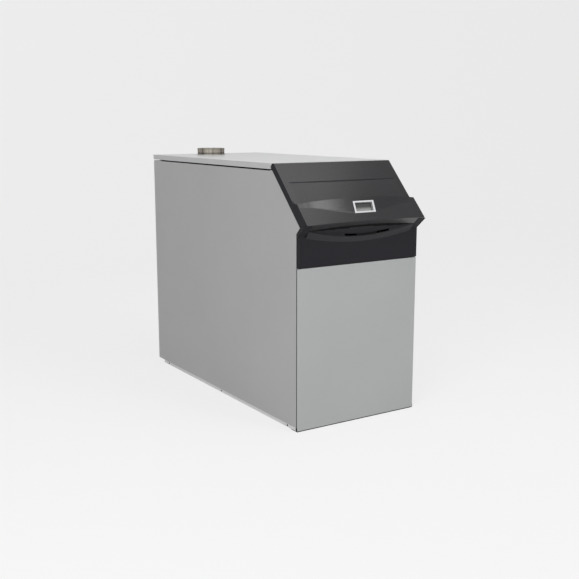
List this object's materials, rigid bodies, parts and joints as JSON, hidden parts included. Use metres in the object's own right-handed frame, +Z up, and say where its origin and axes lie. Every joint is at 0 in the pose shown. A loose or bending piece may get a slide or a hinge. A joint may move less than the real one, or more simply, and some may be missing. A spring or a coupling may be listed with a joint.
{
  "type": "floor-standing gas boiler",
  "caption": "Tall floor-standing condensing gas boiler with a sloping console, a lift-up control flap, a removable front panel, rear pipe flanges and a top flue collar.",
  "frame": {"origin": "centre of the base rectangle of the boiler's bounding box, on the floor", "axes": "+X to the right as seen from the front, +Y to the rear with the pipe flanges, +Z up; the front panel faces -Y"},
  "size_m": [0.7, 1.6522, 1.272],
  "materials": {
    "panel_grey": "satin powder coat",
    "door_grey": "satin powder coat",
    "cover_light": "gloss powder coat",
    "frame_steel": "matt primer",
    "base_light": "satin powder coat",
    "console_dark": "fine moulded grain",
    "fascia_dark": "fine moulded grain",
    "trim_black": "matt",
    "frame_silver": "silver lacquer",
    "lens": "clear",
    "deck_grey": "matt",
    "knob_silver": "satin",
    "screen": "display window",
    "bright_steel": "zinc plated",
    "cast": "sand cast",
    "stainless": "rolled",
    "pipe_steel": "dark steel",
    "brass": "satin",
    "gas_yellow": "gloss",
    "tray_blue": "moulded",
    "siphon_white": "moulded",
    "seal_rubber": "moulded",
    "cable_black": "smooth",
    "ceramic": "glazed",
    "lever_red": "dipped"
  },
  "bodies": {
    "casing": {"base_rail_left": "base_light", "base_rail_right": "base_light", "front_sill": "trim_black", "base_cross_members": "frame_steel", "exchanger_stand": "frame_steel", "frame_posts": "frame_steel", "frame_top_rails": "frame_steel", "console_brackets": "frame_steel", "side_panel_left": "panel_grey", "side_panel_right": "panel_grey", "rear_panel": "panel_grey", "panel_screws": "trim_black", "panel_catches": "trim_black", "cheek_left": "console_dark", "cheek_right": "console_dark", "fascia": "fascia_dark", "hinge_brackets": "bright_steel", "control_panel": "deck_grey", "display_module": "screen", "electronics_box": "frame_steel", "exchanger_sections": "cast", "tie_rods": "bright_steel", "burner_hood": "cast", "burner_tube": "stainless", "fan_housing": "cast", "fan_motor": "deck_grey", "gas_valve": "cast", "gas_pipe": "gas_yellow", "mixing_elbow": "cast", "air_duct": "trim_black", "ignition_electrodes": "ceramic", "flow_pipe": "pipe_steel", "return_pipe": "pipe_steel", "condensate_tray": "tray_blue", "flue_duct": "stainless", "flue_collar": "stainless", "flue_seal": "seal_rubber", "siphon": "siphon_white", "drain_valve": "brass", "wiring_harness": "cable_black"},
    "flap": {"flap": "console_dark", "window_frame": "frame_silver", "window_lens": "lens", "hinge_arms": "bright_steel"},
    "front_panel": {"front_panel": "door_grey"},
    "top_cover": {"top_cover": "cover_light"},
    "latch": {"latch_tab": "trim_black"},
    "main_switch": {"main_switch": "trim_black"},
    "knob_heating": {"knob_heating": "knob_silver"},
    "knob_water": {"knob_water": "knob_silver"},
    "button_1": {"button_1": "knob_silver"},
    "button_2": {"button_2": "knob_silver"},
    "button_3": {"button_3": "knob_silver"},
    "button_4": {"button_4": "knob_silver"},
    "impeller": {"fan_impeller": "bright_steel"},
    "drain_lever": {"drain_lever": "lever_red"},
    "foot_front_left": {"foot_front_left": "trim_black"},
    "foot_front_right": {"foot_front_right": "trim_black"},
    "foot_rear_left": {"foot_rear_left": "trim_black"},
    "foot_rear_right": {"foot_rear_right": "trim_black"}
  },
  "joints": [
    {"name": "flap_hinge", "type": "hinge", "parent": "casing", "child": "flap", "pos_m": [0, -0.5339, 1.231], "axis": [-1, 0, 0], "range_deg": [0, 90]},
    {"name": "front_panel_off", "type": "slide", "parent": "casing", "child": "front_panel", "axis": [0, -1, 0], "range_m": [0, 0.3]},
    {"name": "top_cover_off", "type": "slide", "parent": "casing", "child": "top_cover", "axis": [0, 0, 1], "range_m": [0, 0.08]},
    {"name": "latch_push", "type": "slide", "parent": "casing", "child": "latch", "axis": [0, 1, 0], "range_m": [0, 0.004], "stiffness_N_per_m": 800, "springref_m": -0.004},
    {"name": "switch_rock", "type": "hinge", "parent": "casing", "child": "main_switch", "pos_m": [-0.2, -0.63568, 1.05995], "axis": [1, 0, 0], "range_deg": [0, 10]},
    {"name": "knob_heating_turn", "type": "hinge", "parent": "casing", "child": "knob_heating", "pos_m": [0.15, -0.63857, 1.06271], "axis": [0, 0.723, -0.6909], "range_deg": [0, 270]},
    {"name": "knob_water_turn", "type": "hinge", "parent": "casing", "child": "knob_water", "pos_m": [0.225, -0.63857, 1.06271], "axis": [0, 0.723, -0.6909], "range_deg": [0, 270]},
    {"name": "button_1_press", "type": "slide", "parent": "casing", "child": "button_1", "axis": [0, 0.723, -0.6909], "range_m": [0, 0.0015], "stiffness_N_per_m": 1000, "springref_m": -0.001},
    {"name": "button_2_press", "type": "slide", "parent": "casing", "child": "button_2", "axis": [0, 0.723, -0.6909], "range_m": [0, 0.0015], "stiffness_N_per_m": 1000, "springref_m": -0.001},
    {"name": "button_3_press", "type": "slide", "parent": "casing", "child": "button_3", "axis": [0, 0.723, -0.6909], "range_m": [0, 0.0015], "stiffness_N_per_m": 1000, "springref_m": -0.001},
    {"name": "button_4_press", "type": "slide", "parent": "casing", "child": "button_4", "axis": [0, 0.723, -0.6909], "range_m": [0, 0.0015], "stiffness_N_per_m": 1000, "springref_m": -0.001},
    {"name": "impeller_spin", "type": "hinge", "parent": "casing", "child": "impeller", "pos_m": [-0.08456, -0.5109, 0.68], "axis": [0, 1, 0], "continuous": true},
    {"name": "drain_lever_turn", "type": "hinge", "parent": "casing", "child": "drain_lever", "pos_m": [0.13, 0.6101, 0.322], "axis": [0, 1, 0], "range_deg": [0, 90]},
    {"name": "foot_front_left_screw", "type": "slide", "parent": "casing", "child": "foot_front_left", "axis": [0, 0, -1], "range_m": [0, 0.02]},
    {"name": "foot_front_right_screw", "type": "slide", "parent": "casing", "child": "foot_front_right", "axis": [0, 0, -1], "range_m": [0, 0.02]},
    {"name": "foot_rear_left_screw", "type": "slide", "parent": "casing", "child": "foot_rear_left", "axis": [0, 0, -1], "range_m": [0, 0.02]},
    {"name": "foot_rear_right_screw", "type": "slide", "parent": "casing", "child": "foot_rear_right", "axis": [0, 0, -1], "range_m": [0, 0.02]}
  ]
}
